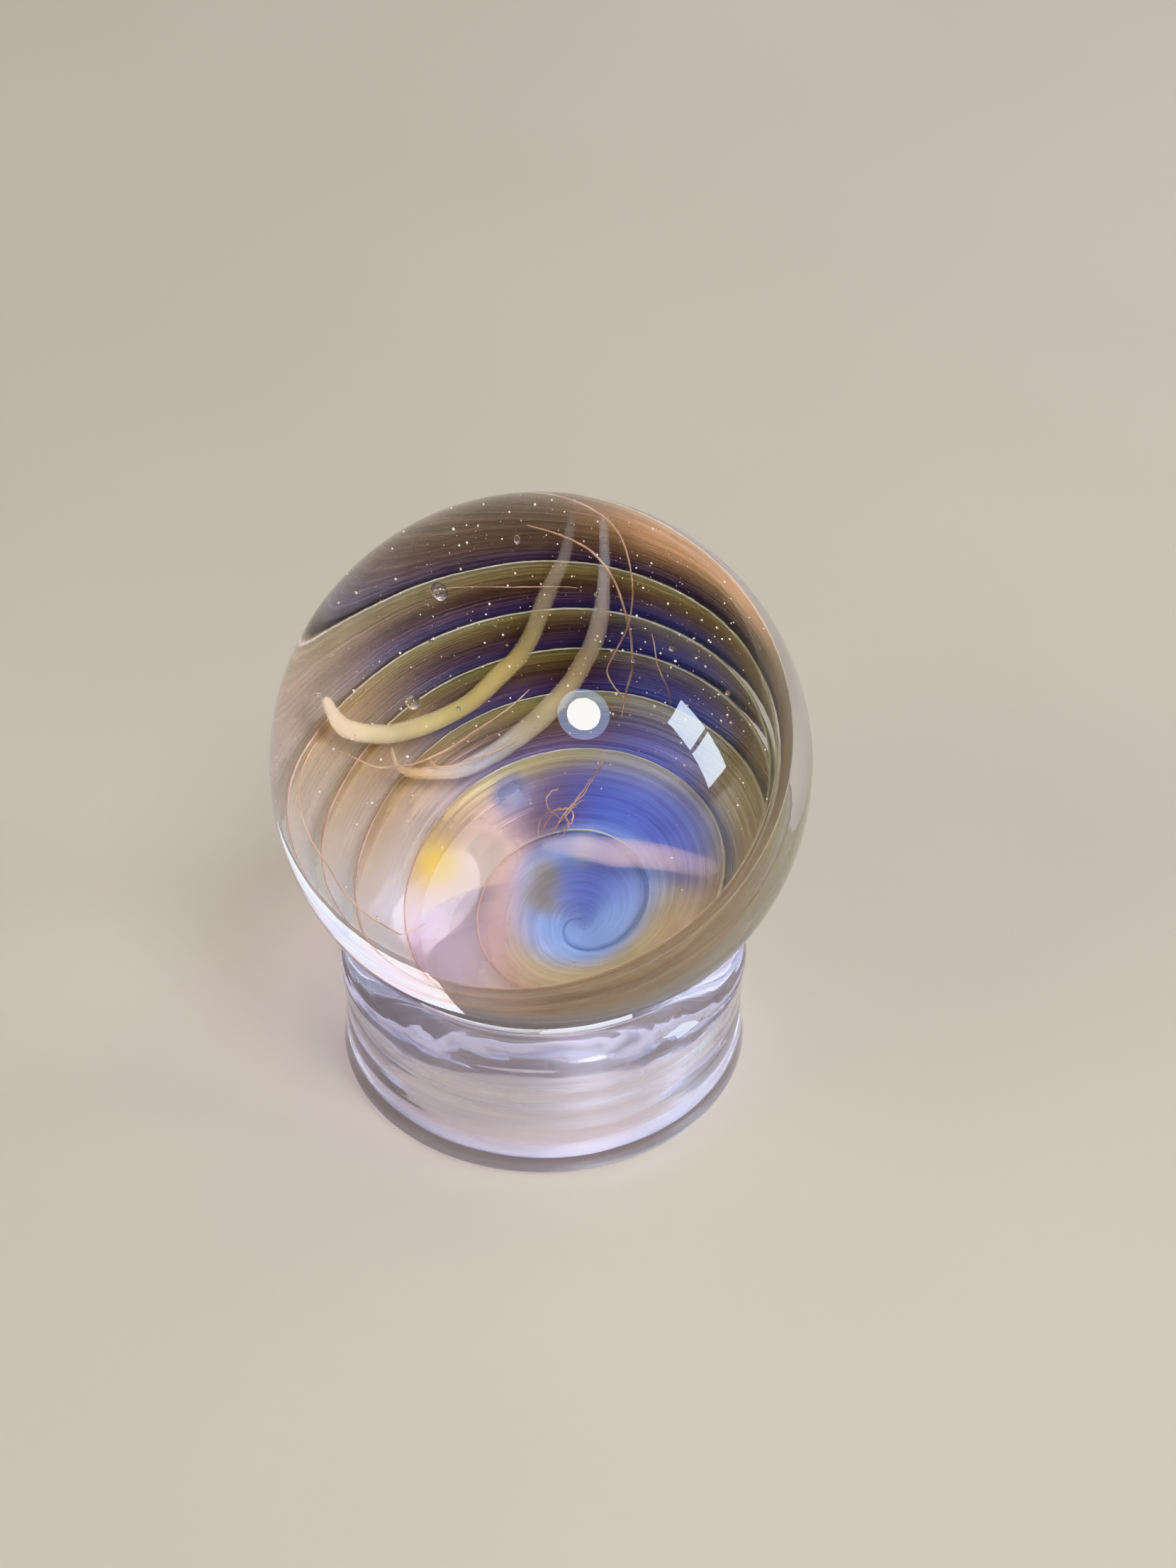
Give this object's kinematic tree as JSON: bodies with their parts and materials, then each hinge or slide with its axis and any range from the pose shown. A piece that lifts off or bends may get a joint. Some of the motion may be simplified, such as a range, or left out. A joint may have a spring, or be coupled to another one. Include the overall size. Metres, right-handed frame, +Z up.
{
  "type": "glass vortex ball on ring stand",
  "caption": "Clear lampworked glass paperweight ball with a fumed spiral vortex, amber ribbons and copper threads inside, resting loose on a short thick-walled glass ring.",
  "frame": {"origin": "centre of the ring stand's flat foot, on the table", "axes": "+Z up along the ring's axis, through the ball's centre; -Y towards the viewer, +X to the viewer's right"},
  "size_m": [0.036, 0.036, 0.0428],
  "materials": {
    "ring_glass": "clear, fire-polished, with a faint lilac tint",
    "clear_glass": "clear, smooth, flame-polished",
    "fumed_glass": "metal-fumed band: cobalt blue to brown to olive across each turn, bright edge",
    "amber_glass": "translucent yellow amber, smooth",
    "rose_glass": "translucent pinkish tan, smooth",
    "copper_glass": "red-brown thread, semi-opaque"
  },
  "bodies": {
    "stand": {"ring_stand": "ring_glass"},
    "ball": {"clear_crown": "clear_glass", "clear_backing": "clear_glass", "vortex_coil": "fumed_glass", "amber_ribbon_long": "amber_glass", "amber_ribbon_short": "amber_glass", "rose_ribbon": "rose_glass", "copper_thread_arch": "copper_glass", "copper_thread_drop": "copper_glass", "copper_thread_faint": "copper_glass", "copper_thread_side": "copper_glass", "copper_thread_hook": "copper_glass", "copper_thread_inner_hook": "copper_glass", "copper_thread_rim": "copper_glass", "copper_tuft": "copper_glass"}
  },
  "joints": [
    {"name": "ball_lift", "type": "slide", "parent": "stand", "child": "ball", "axis": [0, 0, 1], "range_m": [0, 0.03]}
  ]
}
